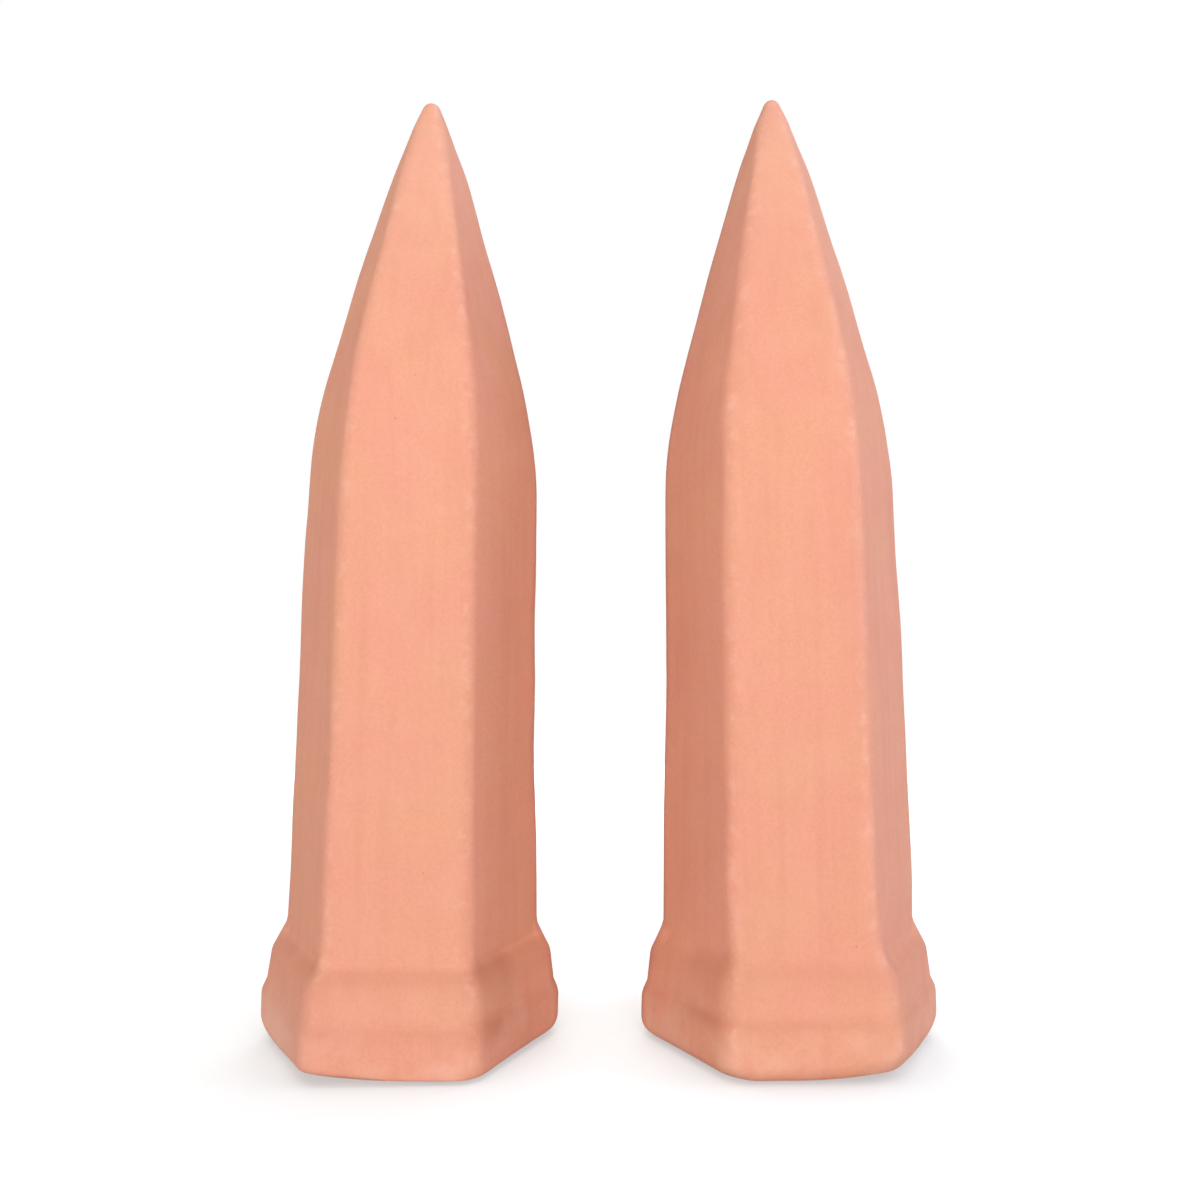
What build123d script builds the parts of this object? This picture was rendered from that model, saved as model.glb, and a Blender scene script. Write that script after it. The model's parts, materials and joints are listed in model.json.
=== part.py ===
"""A pair of hexagonal clay watering spikes, standing on their open ends.

Each spike is one hollow piece of fired clay: a tapered hexagonal body, a pointed nose with a round
tip, a two-bead collar round the mouth, and a round bore that takes the neck of an upturned bottle.
The rim stands on the plane Z = 0 with the tip up, and the origin lies midway between the spikes.
"""

import os
from math import asin, atan2, cos, degrees, hypot, radians, sin, tan

from build123d import *

# Driving sizes, in millimetres

# The bore takes the neck of a wine bottle
BOTTLE_NECK = 30.0
NECK_CLEARANCE = 0.5
BORE_LENGTH = 42.0
MOUTH_EASE = 1.5

# Clay thickness behind a flat, at the mouth and further in
MOUTH_WALL = 4.5
CHAMBER_WALL = 4.0

# How far each form stands out from the one above it, measured on the flats
UPPER_BEAD_STEP = 2.3
FOOT_BEAD_STEP = 0.7

# How much wider the body and the upper bead are at their lower ends, measured on the flats
BODY_TAPER = 1.3
UPPER_BEAD_TAPER = 0.4

# Heights of the forms, from the rim up
FOOT_BEAD_HEIGHT = 8.2
GROOVE_RISE = 1.8
UPPER_BEAD_HEIGHT = 5.4
FLARE_RISE = 3.7
BODY_LENGTH = 92.3
LOWER_NOSE_LENGTH = 40.1
UPPER_NOSE_LENGTH = 26.5

# The nose narrows to this across its flats where it steepens, and ends in a round tip
NOSE_FLATS = 19.0
TIP_RADIUS = 2.1
TIP_FLATS = 3.8

# Roundings of the collar, from the rim up
FOOT_ROUND = 3.2
FOOT_BEAD_ROUND = 4.0
GROOVE_ROUND = 2.0
UPPER_BEAD_ROUND = 4.0
FLARE_ROUND = 2.5

# How far each bend of the nose is spread along the outline, to either side
SHOULDER_BEND = 12.0
NOSE_BEND = 16.0

# The six upright edges are cut back as far as roundings of these radii would cut them
COLLAR_EDGE_ROUND = 4.5
BODY_EDGE_ROUND = 2.5
NOSE_EDGE_ROUND = 1.6

# Roundings inside the water chamber
CHAMBER_ROUND = 60.0
CHAMBER_END_ROUND = 3.5

# The number of flats round a spike
SIDES = 6

# How the pair stands
PAIR_SPACING = 68.4
LEFT_TURN = 2.8
RIGHT_TURN = -3.2

# The cutting outlines run this far past the tip and the rim
OVERRUN = 2.0

# Worked out from the driving sizes

HALF_CORNER = radians(180 / SIDES)

BORE_RADIUS = BOTTLE_NECK / 2 + NECK_CLEARANCE
BODY_FLAT = BORE_RADIUS + MOUTH_WALL
SHOULDER_FLAT = BODY_FLAT - BODY_TAPER
UPPER_BEAD_FLAT = BODY_FLAT + UPPER_BEAD_STEP
GROOVE_FLAT = UPPER_BEAD_FLAT + UPPER_BEAD_TAPER
FOOT_FLAT = GROOVE_FLAT + FOOT_BEAD_STEP
NOSE_FLAT = NOSE_FLATS / 2

GROOVE_LEVEL = FOOT_BEAD_HEIGHT + GROOVE_RISE
UPPER_BEAD_LEVEL = GROOVE_LEVEL + UPPER_BEAD_HEIGHT
COLLAR_LEVEL = UPPER_BEAD_LEVEL + FLARE_RISE
SHOULDER_LEVEL = COLLAR_LEVEL + BODY_LENGTH
NOSE_LEVEL = SHOULDER_LEVEL + LOWER_NOSE_LENGTH
HEIGHT = NOSE_LEVEL + UPPER_NOSE_LENGTH
TIP_CENTRE = HEIGHT - TIP_RADIUS


def corner_reach(flat, edge_round):
    """Distance from the axis to a rounded corner, for that half width across the flats."""
    return (flat - edge_round) / cos(HALF_CORNER) + edge_round


def nose_lean(nose_reach, tip_reach):
    """Lean of the line that leaves the nose bend and just touches a round of tip_reach at the tip."""
    rise = TIP_CENTRE - NOSE_LEVEL
    return atan2(nose_reach, rise) - asin(tip_reach / hypot(nose_reach, rise))


def outline_points(collar_reach, body_reach, nose_reach, end):
    """The outline's corners from the rim up to its end, given how far each form reaches out."""
    return [
        (0, 0),
        (collar_reach(FOOT_FLAT), 0),
        (collar_reach(FOOT_FLAT), FOOT_BEAD_HEIGHT),
        (collar_reach(GROOVE_FLAT), GROOVE_LEVEL),
        (collar_reach(UPPER_BEAD_FLAT), UPPER_BEAD_LEVEL),
        (body_reach(BODY_FLAT), COLLAR_LEVEL),
        (body_reach(SHOULDER_FLAT), SHOULDER_LEVEL),
        (nose_reach, NOSE_LEVEL),
        end,
    ]


def bend_radius(before, corner, after, run):
    """Radius of the arc that rounds a corner and starts that run before it."""
    turn = (Vector(*corner) - Vector(*before)).get_angle(Vector(*after) - Vector(*corner))
    return run / tan(radians(turn / 2))


def outline_rounds(points):
    """The rounding of each corner of an outline, from the rim up."""
    collar, shoulder, nose, end = points[-4:]
    return [
        FOOT_ROUND,
        FOOT_BEAD_ROUND,
        GROOVE_ROUND,
        UPPER_BEAD_ROUND,
        FLARE_ROUND,
        bend_radius(collar, shoulder, nose, SHOULDER_BEND),
        bend_radius(shoulder, nose, end, NOSE_BEND),
    ]


# The outline through the corners, turned about the axis, and ending in the round tip
corner_nose = corner_reach(NOSE_FLAT, NOSE_EDGE_ROUND)
corner_lean = nose_lean(corner_nose, TIP_RADIUS)
tip_start = (TIP_RADIUS * cos(corner_lean), TIP_CENTRE + TIP_RADIUS * sin(corner_lean))
corner_points = outline_points(
    lambda flat: corner_reach(flat, COLLAR_EDGE_ROUND),
    lambda flat: corner_reach(flat, BODY_EDGE_ROUND),
    corner_nose,
    tip_start,
)

# The outline through the flats, which runs out past the tip
flat_lean = nose_lean(NOSE_FLAT, TIP_FLATS / 2)
flat_end_level = HEIGHT + OVERRUN
flat_end_reach = TIP_FLATS / 2 / cos(flat_lean) - (flat_end_level - TIP_CENTRE) * tan(flat_lean)
flat_end = (flat_end_reach, flat_end_level)
flat_points = outline_points(lambda flat: flat, lambda flat: flat, NOSE_FLAT, flat_end)

# One spike, on the origin, with a flat facing the front
with BuildPart() as spike:
    # The round blank, which cuts the upright edges back
    with BuildSketch(Plane.XZ) as corner_outline:
        with BuildLine():
            FilletPolyline(*corner_points, radius=outline_rounds(corner_points))
            CenterArc((0, TIP_CENTRE), TIP_RADIUS, degrees(corner_lean), 90 - degrees(corner_lean))
            Line((0, HEIGHT), (0, 0))
        make_face()
    revolve(axis=Axis.Z)

    # The three pairs of flats, each pair one outline drawn right across, one pair facing front and back
    for pair in range(SIDES // 2):
        with BuildSketch(Plane.XZ.rotated((0, 0, (pair + 0.5) * 360 / SIDES))) as flat_outline:
            with BuildLine():
                FilletPolyline(*flat_points, radius=outline_rounds(flat_points))
                Polyline(flat_end, (0, flat_end_level), (0, 0))
            make_face()
            mirror(about=Plane.YZ)
        extrude(amount=2 * FOOT_FLAT, both=True, mode=Mode.INTERSECT)

    # The mouth, the bore for the bottle neck and the water chamber beyond it
    with BuildSketch(Plane.XZ) as chamber_outline:
        with BuildLine():
            FilletPolyline(
                (BORE_RADIUS, BORE_LENGTH),
                (SHOULDER_FLAT - CHAMBER_WALL, SHOULDER_LEVEL),
                (NOSE_FLAT - CHAMBER_WALL, NOSE_LEVEL),
                (0, NOSE_LEVEL),
                radius=[CHAMBER_ROUND, CHAMBER_END_ROUND],
            )
            Polyline((0, NOSE_LEVEL), (0, -OVERRUN), (BORE_RADIUS, -OVERRUN), (BORE_RADIUS, BORE_LENGTH))
        make_face()
    revolve(axis=Axis.Z, mode=Mode.SUBTRACT)
    mouth_edge = spike.faces().sort_by(Axis.Z)[0].edges().filter_by(GeomType.CIRCLE)
    fillet(mouth_edge, MOUTH_EASE)

# The two spikes, each from the same mould
os.makedirs("parts", exist_ok=True)
for name, centre, turn in (
    ("left_spike", -PAIR_SPACING / 2, LEFT_TURN),
    ("right_spike", PAIR_SPACING / 2, RIGHT_TURN),
):
    with BuildPart() as standing:
        with Locations(Location((centre, 0, 0), (0, 0, turn))):
            add(spike.part)
    standing.part.label = name
    export_step(standing.part, f"parts/{name}.step")
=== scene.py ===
import json
from math import ceil, cos, pi, radians, tan

import bpy
import numpy as np
from mathutils import Color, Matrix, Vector, noise
from mathutils.geometry import interpolate_bezier


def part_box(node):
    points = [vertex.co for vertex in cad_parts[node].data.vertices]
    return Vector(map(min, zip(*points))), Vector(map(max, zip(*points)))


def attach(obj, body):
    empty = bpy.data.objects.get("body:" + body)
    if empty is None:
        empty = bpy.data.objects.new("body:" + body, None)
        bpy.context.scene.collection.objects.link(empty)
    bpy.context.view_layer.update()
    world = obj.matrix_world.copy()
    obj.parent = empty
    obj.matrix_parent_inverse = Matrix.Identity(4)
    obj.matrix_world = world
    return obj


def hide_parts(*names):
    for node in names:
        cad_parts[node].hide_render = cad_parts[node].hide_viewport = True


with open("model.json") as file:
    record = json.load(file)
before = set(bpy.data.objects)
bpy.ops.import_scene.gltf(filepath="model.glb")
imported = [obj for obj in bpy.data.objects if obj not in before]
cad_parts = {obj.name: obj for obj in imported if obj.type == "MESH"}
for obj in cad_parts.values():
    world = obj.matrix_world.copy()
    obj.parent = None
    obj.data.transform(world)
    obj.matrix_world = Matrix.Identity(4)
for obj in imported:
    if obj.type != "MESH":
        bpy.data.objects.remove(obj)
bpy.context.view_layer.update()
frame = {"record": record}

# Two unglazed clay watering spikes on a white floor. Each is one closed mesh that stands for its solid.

MM = 0.001

# Sizes of the clay forms, in millimetres, as in the part's source but for finer shapes of the collar, the
# upright edges and the tip

# Half widths across the flats, from the rim up
FOOT_FLAT = 23.4
UPPER_BEAD_FLAT = 22.3
BODY_FLAT = 20.0
SHOULDER_FLAT = 18.7
NOSE_FLAT = 9.5
TIP_FLAT = 1.25

# Levels of the forms, from the rim up
GROOVE_LEVEL = 10.0
UPPER_BEAD_LEVEL = 15.4
COLLAR_LEVEL = 19.1
BORE_LEVEL = 42.0
SHOULDER_LEVEL = 111.4
NOSE_LEVEL = 151.5
TIP_LEVEL = 178.0

# The collar is crisp on its flats and softer at its upright edges
ON_FLATS = dict(
    foot_flat=FOOT_FLAT,
    groove_flat=22.7,
    foot_bead_level=8.6,
    collar_level=18.5,
    foot_round=3.2,
    foot_bead_round=2.6,
)
AT_EDGES = dict(
    foot_flat=23.65,
    groove_flat=22.85,
    foot_bead_level=7.9,
    collar_level=20.2,
    foot_round=4.0,
    foot_bead_round=4.0,
)
EDGE_FORMS_REACH = radians(9)
EDGE_FORMS_RISE = (0.0, 1.0)
EDGE_FORMS_FADE = (COLLAR_LEVEL + 3.0, BORE_LEVEL)

# The wall round the water chamber
CHAMBER_WALL = 4.0

# Roundings of the outline
GROOVE_ROUND = 0.8
UPPER_BEAD_ROUND = 4.0
TIP_ROUND = 1.65
MOUTH_EASE = 1.5
CHAMBER_ROUND = 60.0
CHAMBER_END_ROUND = 3.5

# How far each bend of the nose is spread along the outline, to either side
SHOULDER_BEND = 12.0
NOSE_BEND = 16.0

# Rounding of the six upright edges, by level, and how much it comes and goes along them
EDGE_LEVELS = (0.0, UPPER_BEAD_LEVEL, COLLAR_LEVEL + 2.0, SHOULDER_LEVEL, NOSE_LEVEL, 160.0, 168.0)
EDGE_ROUNDS = (4.8, 4.8, 3.6, 3.6, 3.0, 3.0, 3.6)
EDGE_ROUND_CHANGE = 0.5
EDGE_ROUND_LENGTH = 22.0

# Where the edges round off towards the tip, the flats swell this far, so that the outline stays straight
NOSE_SWELL = 0.47
NOSE_SWELL_RISE = (146.0, 166.0)
NOSE_SWELL_FADE = (172.0, TIP_LEVEL)

# Fineness of the mesh: columns to each side, drawn together at the edges, and the longest steps by level
SIDES = 6
SIDE_ANGLE = 2 * pi / SIDES
COLUMNS = 32
EDGE_CROWDING = 1.8
STEP_LEVELS = (0.0, COLLAR_LEVEL + 3.0, COLLAR_LEVEL + 8.0, NOSE_LEVEL, 173.0, TIP_LEVEL)
OUTSIDE_STEPS = (0.4, 0.4, 1.1, 1.1, 0.6, 0.25)
INSIDE_STEP = 2.0
ROUNDING_POINTS = 13

# How each spike departs from the mould: its turn and the further turn of its collar, in degrees, how far the
# collar stands askew (rise to run towards +X and +Y), how far its tip leans to +X and is worn down, which of
# its edges is worn at the foot, counted round from +X, the rounding where the collar flares out, the bands of
# painted shade on its collar (level, fade upwards and downwards, and strength), the painted shade on the
# inner side of its collar, which faces the other spike, and the pale bloom on one side of its foot, partly
# painted light on its outer side (degrees from +X and strength), and the seed of its unevenness
SPIKES = {
    "left": dict(
        turn=2.8,
        collar_turn=0.0,
        askew=(-0.025, 0.05),
        lean=0.9,
        tip_wear=0.9,
        worn_edge=4,
        flare_round=0.8,
        painted_shade_bands=((17.3, 0.8, 2.8, 0.31), (9.2, 1.0, 1.6, 0.29)),
        inner_side_shade=(316, 0.36),
        side_bloom_and_light=(210, 0.72),
        seed=3.1,
    ),
    "right": dict(
        turn=-3.2,
        collar_turn=2.8,
        askew=(0.025, 0.0),
        lean=-0.3,
        tip_wear=0.0,
        worn_edge=5,
        flare_round=3.0,
        painted_shade_bands=((16.2, 2.2, 2.4, 0.21), (9.2, 1.0, 1.2, 0.31)),
        inner_side_shade=(222, 0.27),
        side_bloom_and_light=(340, 0.10),
        seed=17.6,
    ),
}

# Between which levels the collar's turn and its standing askew, and the wear of the tip, come and go
COLLAR_TURN_FADE = (UPPER_BEAD_LEVEL, 30.0)
ASKEW_FULL = (0.0, 2.5)
ASKEW_FADE = (COLLAR_LEVEL, 52.0)
TIP_WEAR_FADE = (NOSE_LEVEL, TIP_LEVEL)

# A worn edge is lifted off the floor, most at the edge itself and over a part of a turn to either side of it,
# from where the rim is flat outwards
FOOT_WEAR = 1.1
FOOT_WEAR_TURN = radians(40)
FOOT_WEAR_REACH = (FOOT_FLAT - 5.0, FOOT_FLAT + 1.0)
FOOT_WEAR_FADE = (1.0, 8.6)

# How far the pale wear reaches from an upright edge
EDGE_WEAR = 1.3

# How far the painted shade on the inner side of the collar, which faces the other spike, reaches round it,
# where it starts and ends, and how much stronger it is in the bands of painted shade
SIDE_SHADE_TURN = (radians(6), radians(20))
SIDE_SHADE_RISE = (4.0, 8.0)
SIDE_SHADE_FADE = (18.0, 20.0)
SIDE_SHADE_IN_BANDS = 2.6

# How far the pale bloom on one side of the foot, partly painted light on its outer side, reaches round it and
# up it
SIDE_BLOOM_AND_LIGHT_TURN = radians(50)
SIDE_BLOOM_AND_LIGHT_FADE = (4.0, 13.0)

# How far apart in the noise the upright edges, and the layers of unevenness, are drawn
EDGE_SEED_STEP = 5.3
LAYER_SEED_STEP = 7.7

# Unevenness of the clay: how far it stands in or out, and the size of its hollows across and along
UNEVENNESS = (
    (0.34, 36.0, 36.0),
    (0.13, 12.0, 14.0),
    (0.035, 3.6, 5.0),
    (0.030, 2.2, 55.0),
)


def smooth_step(start, end, value):
    """0 before start, 1 after end, and a smooth rise between them."""
    share = np.clip((value - start) / (end - start), 0.0, 1.0)
    return share * share * (3.0 - 2.0 * share)


def bend_radius(before, corner, after, run):
    """Radius of the arc that rounds a corner and starts that run before it."""
    turn = (corner - before).angle(after - corner)
    return run / tan(turn / 2)


def rounded(corners, rounds):
    """Points along an outline of corners, each but the first and last rounded to its radius."""
    outline = [corners[0]]
    for before, corner, after, radius in zip(corners, corners[1:], corners[2:], rounds):
        towards = (corner - before).normalized()
        away = (after - corner).normalized()
        turn = towards.angle(away)
        run = radius * tan(turn / 2)
        handle = radius * tan(turn / 4) * 4 / 3
        start = corner - towards * run
        end = corner + away * run
        handles = (start + towards * handle, end - away * handle)
        outline += interpolate_bezier(start, *handles, end, ROUNDING_POINTS)
    outline.append(corners[-1])
    return outline


def divided(outline, longest_step):
    """The outline with its long runs divided. longest_step gives the longest step at a level."""
    points = [outline[0]]
    for start, end in zip(outline, outline[1:]):
        parts = max(1, ceil((end - start).length / longest_step((start.y + end.y) / 2)))
        points += [start.lerp(end, part / parts) for part in range(1, parts + 1)]
    return points


def outside_outline(
    height,
    rim_middle,
    flare_round,
    foot_flat,
    groove_flat,
    foot_bead_level,
    collar_level,
    foot_round,
    foot_bead_round,
):
    """Half width across the flats and level, from the tip down to the middle of the rim."""
    corners = [Vector(corner) for corner in (
        (0.0, height),
        (TIP_FLAT, height),
        (NOSE_FLAT, NOSE_LEVEL),
        (SHOULDER_FLAT, SHOULDER_LEVEL),
        (BODY_FLAT, collar_level),
        (UPPER_BEAD_FLAT, UPPER_BEAD_LEVEL),
        (groove_flat, GROOVE_LEVEL),
        (foot_flat, foot_bead_level),
        (foot_flat, 0.0),
        (rim_middle, 0.0),
    )]
    rounds = [
        TIP_ROUND,
        bend_radius(*corners[1:4], NOSE_BEND),
        bend_radius(*corners[2:5], SHOULDER_BEND),
        flare_round,
        UPPER_BEAD_ROUND,
        GROOVE_ROUND,
        foot_bead_round,
        foot_round,
    ]
    return divided(rounded(corners, rounds), lambda level: np.interp(level, STEP_LEVELS, OUTSIDE_STEPS))


def inside_outline(rim_middle, bore_radius):
    """Radius and level, from the middle of the rim through the mouth to the end of the chamber."""
    corners = [Vector(corner) for corner in (
        (rim_middle, 0.0),
        (bore_radius, 0.0),
        (bore_radius, BORE_LEVEL),
        (SHOULDER_FLAT - CHAMBER_WALL, SHOULDER_LEVEL),
        (NOSE_FLAT - CHAMBER_WALL, NOSE_LEVEL),
        (0.0, NOSE_LEVEL),
    )]
    rounds = [MOUTH_EASE, CHAMBER_ROUND, CHAMBER_ROUND, CHAMBER_END_ROUND]
    return divided(rounded(corners, rounds), lambda level: INSIDE_STEP)


def column_angles():
    """Angle of each column in a whole turn from an edge, and its angle from the nearest edge."""
    half = COLUMNS // 2
    from_edge = SIDE_ANGLE / 2 * (np.arange(half + 1) / half) ** EDGE_CROWDING
    from_edges = np.tile(np.concatenate([from_edge[:-1], from_edge[:0:-1]]), SIDES)
    side = np.concatenate([from_edge[:-1], SIDE_ANGLE - from_edge[:0:-1]])
    angles = np.concatenate([side + SIDE_ANGLE * number for number in range(SIDES)])
    return angles, from_edges


def hexagon_reach(flat, edge_round, from_edge):
    """Distance from the axis to a hexagon with rounded edges, at that angle from the nearest edge."""
    half_side = SIDE_ANGLE / 2
    from_middle = half_side - from_edge
    round_centre = (flat - edge_round) / cos(half_side)
    flat_end = np.arctan((flat - edge_round) * tan(half_side) / flat)
    on_round = round_centre * np.cos(from_edge) + np.sqrt(
        np.maximum(edge_round**2 - (round_centre * np.sin(from_edge)) ** 2, 0.0)
    )
    return np.where(from_middle > flat_end, on_round, flat / np.cos(from_middle))


def noise_along(points, across, along, seed):
    """Smooth noise at each point, with hollows that size across and along the spike."""
    scale = np.array((1 / across, 1 / across, 1 / along))
    return np.array([noise.noise(point) for point in (points * scale + seed).tolist()])


def edge_rounds(levels, angles, seed):
    """Rounding of the nearest upright edge, for each level and column."""
    plain = np.interp(levels, EDGE_LEVELS, EDGE_ROUNDS)
    edges = np.round(angles / SIDE_ANGLE).astype(int) % SIDES
    change = np.array([
        [
            noise.noise((seed + EDGE_SEED_STEP * edge, seed, level / EDGE_ROUND_LENGTH))
            for edge in range(SIDES)
        ]
        for level in levels
    ])
    return plain[:, None] * (1 + EDGE_ROUND_CHANGE * change[:, edges])


def edge_forms(levels, flats, edge_outline, from_edges):
    """How much further out than its flats the collar stands near its edges, for each level and column."""
    edge_flats, edge_levels = np.array(edge_outline[::-1]).T
    further = np.interp(levels, edge_levels, edge_flats) - flats
    further = further * smooth_step(*EDGE_FORMS_RISE, levels) * (1 - smooth_step(*EDGE_FORMS_FADE, levels))
    return further[:, None] * (1 - smooth_step(0.0, EDGE_FORMS_REACH, from_edges))


def angle_from(middle, angles):
    """How far each angle is from a middle one, whichever way round is shorter."""
    return np.abs((angles - middle + pi) % (2 * pi) - pi)


def foot_wear(x, y, level, edge_angle):
    """How far each point is lifted, near the worn edge of the foot."""
    beside = 1 - smooth_step(0.0, FOOT_WEAR_TURN, angle_from(edge_angle, np.arctan2(y, x)))
    outwards = smooth_step(*FOOT_WEAR_REACH, np.hypot(x, y))
    return FOOT_WEAR * beside * outwards * (1 - smooth_step(*FOOT_WEAR_FADE, level))


def spike_mesh(
    name,
    height,
    bore_radius,
    turn,
    collar_turn,
    askew,
    lean,
    tip_wear,
    worn_edge,
    flare_round,
    painted_shade_bands,
    inner_side_shade,
    side_bloom_and_light,
    seed,
):
    """The closed mesh of one spike, standing on the origin, in millimetres."""
    rim_middle = (bore_radius + MOUTH_EASE + FOOT_FLAT - ON_FLATS["foot_round"]) / 2
    outside = outside_outline(height, rim_middle, flare_round, **ON_FLATS)
    edge_outline = outside_outline(height, rim_middle, flare_round, **AT_EDGES)
    inside = inside_outline(rim_middle, bore_radius)
    flats, levels = np.array(outside[1:] + inside[1:-1]).T
    outer_rows = len(outside) - 1

    # From the middle of the rim inwards the hexagon turns into the round mouth
    hexagonal = smooth_step(bore_radius + MOUTH_EASE, rim_middle, flats)
    hexagonal[:outer_rows] = 1.0

    angles, from_edges = column_angles()
    formed = np.repeat(flats[:, None], len(angles), 1)
    formed[:outer_rows] += edge_forms(levels[:outer_rows], flats[:outer_rows], edge_outline, from_edges)
    swell = smooth_step(*NOSE_SWELL_RISE, levels) * (1 - smooth_step(*NOSE_SWELL_FADE, levels))
    formed[:outer_rows] += NOSE_SWELL * swell[:outer_rows, None]
    edge_round = np.minimum(edge_rounds(levels, angles, seed), formed)
    hexagon = hexagon_reach(formed, edge_round, from_edges[None, :])
    reach = flats[:, None] + hexagonal[:, None] * (hexagon - flats[:, None])
    turns = turn + collar_turn * (1 - smooth_step(*COLLAR_TURN_FADE, levels))
    turned = angles + np.radians(turns)[:, None]
    heights = np.broadcast_to(levels[:, None], reach.shape)
    rows = np.stack([reach * np.cos(turned), reach * np.sin(turned), heights], -1)
    points = np.concatenate([rows.reshape(-1, 3), [(0.0, 0.0, height), (0.0, 0.0, NOSE_LEVEL)]])

    # Rows of quads, closed by a fan at the tip and another at the end of the chamber
    count = len(angles)
    faces = []
    for row in range(len(levels) - 1):
        upper = row * count
        lower = upper + count
        for column in range(count):
            following = (column + 1) % count
            faces.append((upper + column, lower + column, lower + following, upper + following))
    last = (len(levels) - 1) * count
    tip, end = len(points) - 2, len(points) - 1
    faces += [(tip, column, (column + 1) % count) for column in range(count)]
    faces += [(last + column, end, last + (column + 1) % count) for column in range(count)]

    # The collar askew, the foot worn at one edge, and the tip leaning and worn
    x, y, level = points.T
    is_outside = np.arange(len(points)) < outer_rows * count
    is_outside[tip] = True
    collar = smooth_step(*ASKEW_FULL, level) * (1 - smooth_step(*ASKEW_FADE, level))
    rise = (askew[0] * x + askew[1] * y) * collar
    rise = rise + foot_wear(x, y, level, SIDE_ANGLE * worn_edge + radians(turn + collar_turn))
    sink = tip_wear * smooth_step(*TIP_WEAR_FADE, level)
    points = np.stack([x + lean * level / height, y, level + (rise - sink) * is_outside], -1)

    mesh = bpy.data.meshes.new(name)
    mesh.from_pydata(points.tolist(), [], faces)
    normals = np.empty(len(points) * 3)
    mesh.vertices.foreach_get("normal", normals)
    uneven = sum(
        depth * noise_along(points, across, along, seed + LAYER_SEED_STEP * number)
        for number, (depth, across, along) in enumerate(UNEVENNESS)
    )
    points = points + normals.reshape(-1, 3) * uneven[:, None]
    points[:, 2] = np.maximum(points[:, 2], 0.0)
    mesh.vertices.foreach_set("co", points.ravel())
    mesh.shade_smooth()

    # How near each point is to an upright edge, where it wears pale, to the bands and the inner side of the
    # collar that take painted shade, and to the pale bloom on one side of the foot, partly painted light on
    # its outer side
    edge = np.exp(-((reach * from_edges) / EDGE_WEAR) ** 2) * hexagonal[:, None]
    # Painted shade in bands round the collar, at the flare and at the groove
    painted_shade = sum(
        strength * np.exp(-(((levels - middle) / np.where(levels > middle, upwards, downwards)) ** 2))
        for middle, upwards, downwards, strength in painted_shade_bands
    )
    # Painted shade on the inner side of the collar, which faces the other spike
    side_shade_middle, side_shade_strength = inner_side_shade
    beside = 1 - smooth_step(*SIDE_SHADE_TURN, angle_from(radians(side_shade_middle), turned))
    side_shade = smooth_step(*SIDE_SHADE_RISE, levels) * (1 - smooth_step(*SIDE_SHADE_FADE, levels))
    side_shade = side_shade_strength * side_shade * (1 + SIDE_SHADE_IN_BANDS * painted_shade)
    painted_shade = (painted_shade * hexagonal)[:, None] + beside * (side_shade * hexagonal)[:, None]
    # A pale bloom on one side of the foot, partly painted light on its outer side
    bloom_light_middle, bloom_light_strength = side_bloom_and_light
    bloom = 1 - smooth_step(0.0, SIDE_BLOOM_AND_LIGHT_TURN, angle_from(radians(bloom_light_middle), turned))
    bloom = bloom_light_strength * bloom * ((1 - smooth_step(*SIDE_BLOOM_AND_LIGHT_FADE, levels)) * hexagonal)[:, None]
    for label, values in (("edge", edge), ("painted_shade", painted_shade), ("bloom", bloom)):
        attribute = mesh.attributes.new(label, "FLOAT", "POINT")
        attribute.data.foreach_set("value", np.concatenate([values.ravel(), [0.0, 0.0]]))
    return mesh


def linear(colour, alpha=1.0):
    """A colour given by its screen values out of 255, as a shader takes it."""
    return (*Color(value / 255 for value in colour).from_srgb_to_scene_linear(), alpha)


def add_node(tree, kind, inputs=(), **settings):
    """A new node with those settings. Its inputs are given as values or as sockets to link from."""
    node = tree.nodes.new(kind)
    for name, value in settings.items():
        setattr(node, name, value)
    for key, value in dict(inputs).items():
        if isinstance(value, bpy.types.NodeSocket):
            tree.links.new(value, node.inputs[key])
        else:
            node.inputs[key].default_value = value
    return node


def grain(tree, place, size, detail=3.0):
    """Noise with that size of grain, in millimetres."""
    inputs = {"Vector": place, "Scale": 1 / (size * MM), "Detail": detail, "Roughness": 0.55}
    return add_node(tree, "ShaderNodeTexNoise", inputs).outputs["Fac"]


def spread(tree, value, low, high, to_low=0.0, to_high=1.0):
    """The value, with the range from low to high spread over another range."""
    inputs = {"Value": value, "From Min": low, "From Max": high, "To Min": to_low, "To Max": to_high}
    return add_node(tree, "ShaderNodeMapRange", inputs, interpolation_type="SMOOTHSTEP").outputs["Result"]


def times(tree, first, second):
    """One value times another."""
    return add_node(tree, "ShaderNodeMath", {0: first, 1: second}, operation="MULTIPLY").outputs["Value"]


def tint(tree, share, colour, other):
    """That share of the other colour laid over a colour."""
    node = add_node(tree, "ShaderNodeMix", data_type="RGBA")
    for socket, value in ((node.inputs[0], share), (node.inputs[6], colour), (node.inputs[7], other)):
        if isinstance(value, bpy.types.NodeSocket):
            tree.links.new(value, socket)
        else:
            socket.default_value = value
    return node.outputs[2]


def relief(tree, height, strength, distance, normal=None):
    """The normal of a surface with that relief, over another relief if one is given."""
    inputs = {"Height": height, "Strength": strength, "Distance": distance * MM}
    if normal is not None:
        inputs["Normal"] = normal
    return add_node(tree, "ShaderNodeBump", inputs).outputs["Normal"]


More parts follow.
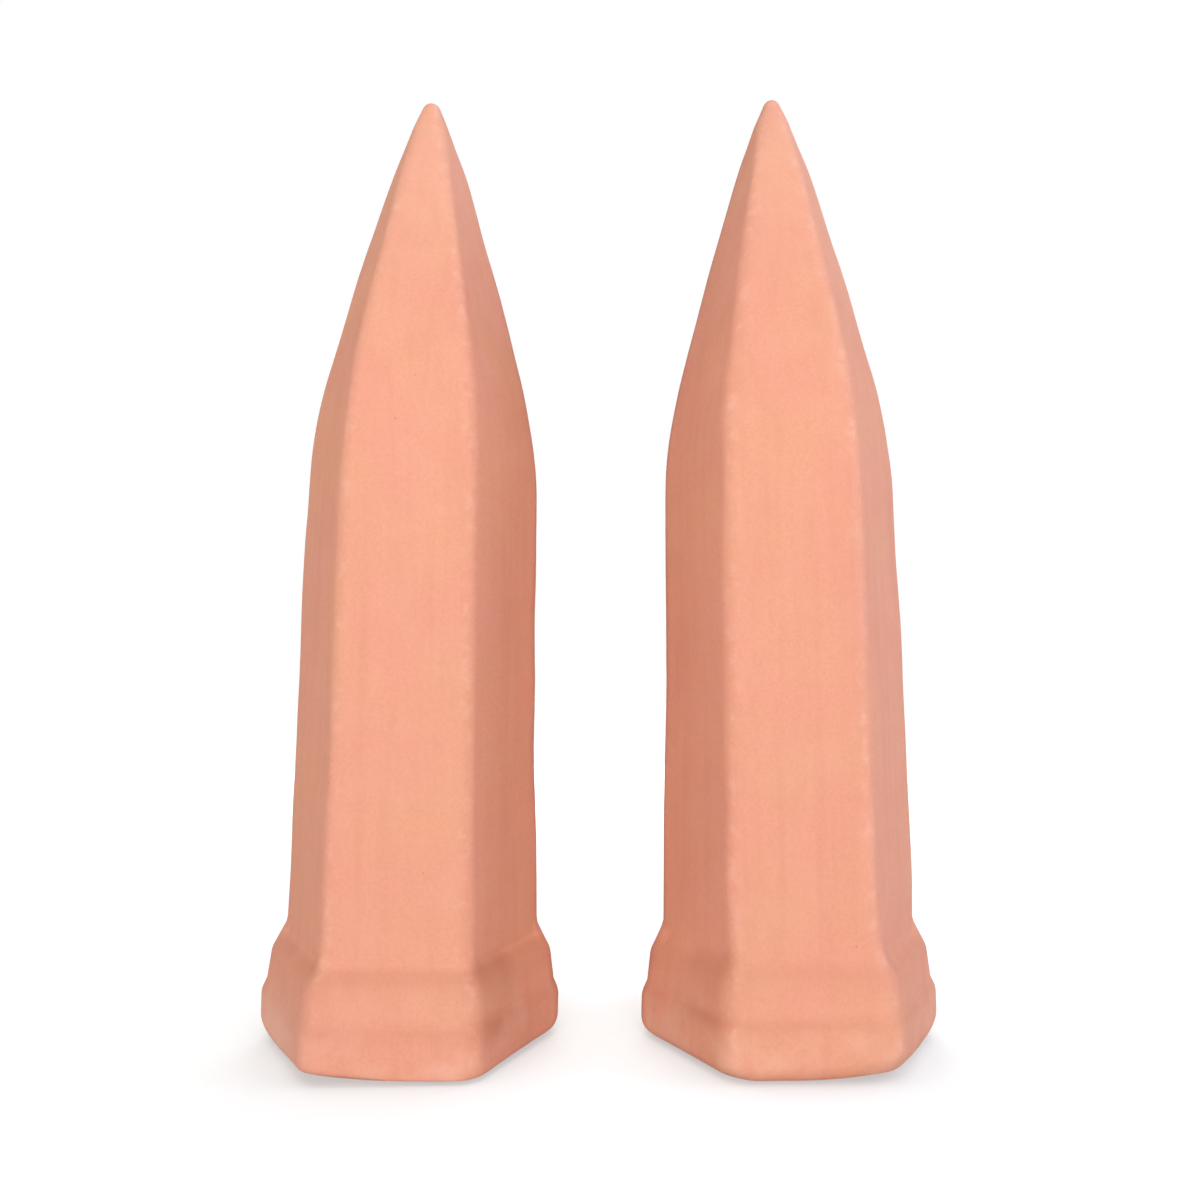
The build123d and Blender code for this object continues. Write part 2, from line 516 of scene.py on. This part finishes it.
def seen_directly(tree):
    """1 for rays from the camera, also mirrored or through glass, and 0 for the rays that carry light."""
    rays = add_node(tree, "ShaderNodeLightPath").outputs
    seen = rays["Is Camera Ray"]
    for other in ("Is Glossy Ray", "Is Transmission Ray"):
        either = {0: seen, 1: rays[other]}
        seen = add_node(tree, "ShaderNodeMath", either, operation="MAXIMUM").outputs["Value"]
    return seen


# Colours of the clay, by their screen values
CLAY_PINK = (227, 156, 132)
CLAY_SAND = (227, 160, 131)
CLAY_PALE = (236, 182, 161)
CLAY_DARK = (212, 143, 116)
# A darker clay colour, laid on as painted shade in the collar's bands and on its inner side
CLAY_PAINTED_SHADE = (197, 127, 100)
SPECK = (168, 102, 78)

# Sizes of its patches, streaks and grain, in millimetres, and how drawn out the streaks are
PATCH_SIZE = 16.0
STREAK_SIZE = 2.4
FINE_SIZE = 0.55
WEAR_SIZE = 2.5
BLOOM_SIZE = 9.0
SPECK_SPACING = 3.2
SHEEN_SIZE = 4.0
OPEN_GRAIN_SIZE = 0.45
WIPING_SIZE = 1.1
STREAK_STRETCH = 20.0

# How strongly each of them tints the clay at most
STREAK_TINT = 0.24
FINE_TINT = 0.30
# The nose's tint is painted light
NOSE_PAINTED_LIGHT = 0.25
WEAR_TINT = 0.40
BLOOM_TINT = 0.55
SPECK_TINT = 0.5

# How matte the clay is, and how deep its open grain and its wiped streaks are, in millimetres
ROUGHNESS = (0.82, 0.95)
SPECULAR = 0.25
OPEN_GRAIN_DEPTH = 0.06
WIPING_DEPTH = 0.05

# Where the pale bloom on the foot is strongest and where it has thinned out, and where the painted light on
# the nose starts and is strongest, in metres
BLOOM_LEVELS = (0.002, 0.014)
PAINTED_LIGHT_NOSE_LEVELS = (0.120, 0.172)


def clay_material():
    """Unglazed fired clay: mottled and faintly streaked, pale at its edges, with a fine open grain."""
    material = bpy.data.materials.new("terracotta")
    material.use_nodes = True
    tree = material.node_tree
    shader = tree.nodes["Principled BSDF"]
    place = add_node(tree, "ShaderNodeTexCoord").outputs["Object"]
    stretch = {"Vector": place, "Scale": (1.0, 1.0, 1 / STREAK_STRETCH)}
    drawn_out = add_node(tree, "ShaderNodeMapping", stretch).outputs["Vector"]

    # Broad patches, streaks along the spike and fine grain
    patches = spread(tree, grain(tree, place, PATCH_SIZE), 0.35, 0.65)
    streaks = spread(tree, grain(tree, drawn_out, STREAK_SIZE, 2.0), 0.40, 0.75, 0.0, STREAK_TINT)
    fine = spread(tree, grain(tree, place, FINE_SIZE, 4.0), 0.35, 0.70, 0.0, FINE_TINT)
    colour = tint(tree, patches, linear(CLAY_PINK), linear(CLAY_SAND))
    colour = tint(tree, streaks, colour, linear(CLAY_DARK))
    colour = tint(tree, fine, colour, linear(CLAY_DARK))

    # Painted light: the nose paler towards its tip, where more light falls
    level = add_node(tree, "ShaderNodeSeparateXYZ", {"Vector": place}).outputs["Z"]
    nose_painted_light = spread(tree, level, *PAINTED_LIGHT_NOSE_LEVELS, 0.0, NOSE_PAINTED_LIGHT)
    colour = tint(tree, nose_painted_light, colour, linear(CLAY_PALE))

    # Painted shade in the collar's bands and on its inner side, worn edges pale, and a pale bloom in clouds,
    # most of it at the foot
    painted_shade = add_node(tree, "ShaderNodeAttribute", attribute_name="painted_shade").outputs["Fac"]
    colour = tint(tree, painted_shade, colour, linear(CLAY_PAINTED_SHADE))
    edge = add_node(tree, "ShaderNodeAttribute", attribute_name="edge").outputs["Fac"]
    wear = spread(tree, grain(tree, place, WEAR_SIZE, 5.0), 0.45, 0.75, 0.0, WEAR_TINT)
    worn = times(tree, edge, wear)
    colour = tint(tree, worn, colour, linear(CLAY_PALE))
    low_down = spread(tree, level, *BLOOM_LEVELS, 1.0, 0.2)
    clouds = spread(tree, grain(tree, place, BLOOM_SIZE, 5.0), 0.40, 0.75, 0.0, BLOOM_TINT)
    bloom = times(tree, low_down, clouds)
    colour = tint(tree, bloom, colour, linear(CLAY_PALE))
    # One side of the foot paler still: a pale bloom, partly painted light on its outer side
    side_bloom_and_light = add_node(tree, "ShaderNodeAttribute", attribute_name="bloom").outputs["Fac"]
    colour = tint(tree, side_bloom_and_light, colour, linear(CLAY_PALE))

    # A few dark specks
    cells = add_node(tree, "ShaderNodeTexVoronoi", {"Vector": place, "Scale": 1 / (SPECK_SPACING * MM)})
    dots = spread(tree, cells.outputs["Distance"], 0.03, 0.08, 1.0, 0.0)
    chosen = add_node(tree, "ShaderNodeSeparateColor", {"Color": cells.outputs["Color"]}).outputs["Red"]
    specks = times(tree, dots, spread(tree, chosen, 0.85, 1.0, 0.0, SPECK_TINT))
    colour = tint(tree, specks, colour, linear(SPECK))
    tree.links.new(colour, shader.inputs["Base Color"])

    # A matte surface with an open grain, and faint streaks left by wiping
    roughness = spread(tree, grain(tree, place, SHEEN_SIZE), 0.3, 0.7, *ROUGHNESS)
    tree.links.new(roughness, shader.inputs["Roughness"])
    shader.inputs["Specular IOR Level"].default_value = SPECULAR
    open_grain = relief(tree, grain(tree, place, OPEN_GRAIN_SIZE, 5.0), 0.35, OPEN_GRAIN_DEPTH)
    wiped = relief(tree, grain(tree, drawn_out, WIPING_SIZE, 3.0), 0.3, WIPING_DEPTH, open_grain)
    tree.links.new(wiped, shader.inputs["Normal"])
    return material


# The two spikes
clay = clay_material()
for side, habits in SPIKES.items():
    node = f"{side}_spike"
    low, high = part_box(node)
    bore = next(mount for mount in frame["record"]["mounts"] if mount["name"] == f"{side}_bottle_mouth")
    axis = Vector(bore["pos_m"])
    mesh = spike_mesh(f"{node}_clay", high.z / MM, bore["dims"]["r_mm"], **habits)
    for vertex in mesh.vertices:
        vertex.co = vertex.co * MM + Vector((axis.x, axis.y, low.z))
    mesh.materials.append(clay)
    piece = bpy.data.objects.new(f"{node}_clay", mesh)
    bpy.context.collection.objects.link(piece)
    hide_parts(node)
    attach(piece, node)

# The floor, white where it is lit and soft grey in the lamps' shadow of the spikes and in a painted contact
# shadow under them, a hair under their rims
FLOOR_HALF = 4.0
FLOOR_LEVEL = -0.00005
WHITE = (1.0, 1.0, 1.0, 1.0)

# The colour of the light that it throws back, and the darker one that takes the shadow before the camera
FLOOR_COLOUR = (0.67, 0.67, 0.67, 1.0)
FLOOR_COLOUR_SEEN = (0.43, 0.45, 0.455, 1.0)

# The glow that makes it white to the camera, by the spikes and far off, and between which distances it grows
FLOOR_GLOW = 0.73
FLOOR_FAR_GLOW = 1.0
FLOOR_FAR = (0.10, 0.6)

# Painted contact shadow: close under the spikes, where the floor is less open, the glow falls to a share of
# itself
PAINTED_SHADOW_REACH = 0.022
PAINTED_SHADOW_OPENNESS = (0.2, 1.0)
PAINTED_SHADOW_GLOW = 0.6


def floor_material():
    """White paper, which shows as white to the camera, still takes the lamps' shadow, and has a painted
    contact shadow under the spikes.
    """
    material = bpy.data.materials.new("floor")
    material.use_nodes = True
    tree = material.node_tree
    shader = tree.nodes["Principled BSDF"]
    shader.inputs["Roughness"].default_value = 1.0
    shader.inputs["Specular IOR Level"].default_value = 0.0
    shader.inputs["Emission Color"].default_value = WHITE
    seen = seen_directly(tree)
    tree.links.new(tint(tree, seen, FLOOR_COLOUR, FLOOR_COLOUR_SEEN), shader.inputs["Base Color"])
    place = add_node(tree, "ShaderNodeTexCoord").outputs["Object"]
    distance = add_node(tree, "ShaderNodeVectorMath", {0: place}, operation="LENGTH").outputs["Value"]
    glow = spread(tree, distance, *FLOOR_FAR, FLOOR_GLOW, FLOOR_FAR_GLOW)
    # Painted contact shadow: the glow dimmed where the floor is less open under the spikes
    openness = add_node(tree, "ShaderNodeAmbientOcclusion", {"Distance": PAINTED_SHADOW_REACH}).outputs["AO"]
    glow = times(tree, glow, spread(tree, openness, *PAINTED_SHADOW_OPENNESS, PAINTED_SHADOW_GLOW, 1.0))
    tree.links.new(times(tree, seen, glow), shader.inputs["Emission Strength"])
    return material


corner_signs = ((-1, -1), (1, -1), (1, 1), (-1, 1))
floor_corners = [(x * FLOOR_HALF, y * FLOOR_HALF, FLOOR_LEVEL) for x, y in corner_signs]
floor_mesh = bpy.data.meshes.new("floor")
floor_mesh.from_pydata(floor_corners, [], [(0, 1, 2, 3)])
floor_mesh.materials.append(floor_material())
floor = bpy.data.objects.new("floor", floor_mesh)
bpy.context.collection.objects.link(floor)

# The world: white to the camera, and a dimmer even light to everything else
WORLD_LIGHT = 0.13
world = bpy.data.worlds.new("studio")
world.use_nodes = True
bpy.context.scene.world = world
sky = world.node_tree.nodes["Background"]
sky.inputs["Color"].default_value = WHITE
sky_strength = spread(world.node_tree, seen_directly(world.node_tree), 0.0, 1.0, WORLD_LIGHT, 1.0)
world.node_tree.links.new(sky_strength, sky.inputs["Strength"])

# Soft lamps: name, place, what it points at, width, height, power and colour
LAMPS = (
    ("key", (0.0, -0.60, 0.12), (0.0, 0.0, 0.10), 0.5, 0.22, 2.62, (1.0, 0.99, 0.97)),
    ("top_fill", (0.0, -0.38, 0.52), (0.0, 0.0, 0.16), 0.4, 0.4, 1.12, (1.0, 0.99, 0.97)),
    ("right_fill", (0.70, 0.02, 0.40), (0.0, 0.0, 0.11), 0.4, 0.4, 2.8, (0.66, 0.77, 1.0)),
    ("left_fill", (-0.70, -0.08, 0.10), (0.0, 0.0, 0.05), 0.4, 0.2, 0.68, (1.0, 0.99, 0.97)),
    ("back_fill", (0.0, 0.60, 0.20), (0.0, 0.0, 0.09), 0.5, 0.3, 2.6, (1.0, 1.0, 1.0)),
)
for name, place, target, width, height, power, colour in LAMPS:
    lamp = bpy.data.lights.new(name, "AREA")
    lamp.shape = "RECTANGLE"
    lamp.size = width
    lamp.size_y = height
    lamp.energy = power
    lamp.color = colour
    lamp_object = bpy.data.objects.new(name, lamp)
    lamp_object.location = place
    lamp_object.rotation_euler = (Vector(target) - Vector(place)).to_track_quat("-Z", "Y").to_euler()
    bpy.context.collection.objects.link(lamp_object)

# The camera, at the photograph's viewing angle
CAMERA_PLACE = (0.0, -0.1790, 0.0621)
CAMERA_PITCH = 95.32
CAMERA_LENS = 28.62
SENSOR_WIDTH = 36.0
CLIP_START = 0.01
camera = bpy.data.cameras.new("camera")
camera.sensor_width = SENSOR_WIDTH
camera.lens = CAMERA_LENS
camera.clip_start = CLIP_START
camera_object = bpy.data.objects.new("camera", camera)
camera_object.location = CAMERA_PLACE
camera_object.rotation_euler = (radians(CAMERA_PITCH), 0.0, 0.0)
bpy.context.collection.objects.link(camera_object)
bpy.context.scene.camera = camera_object
bpy.context.scene.view_settings.view_transform = "Standard"
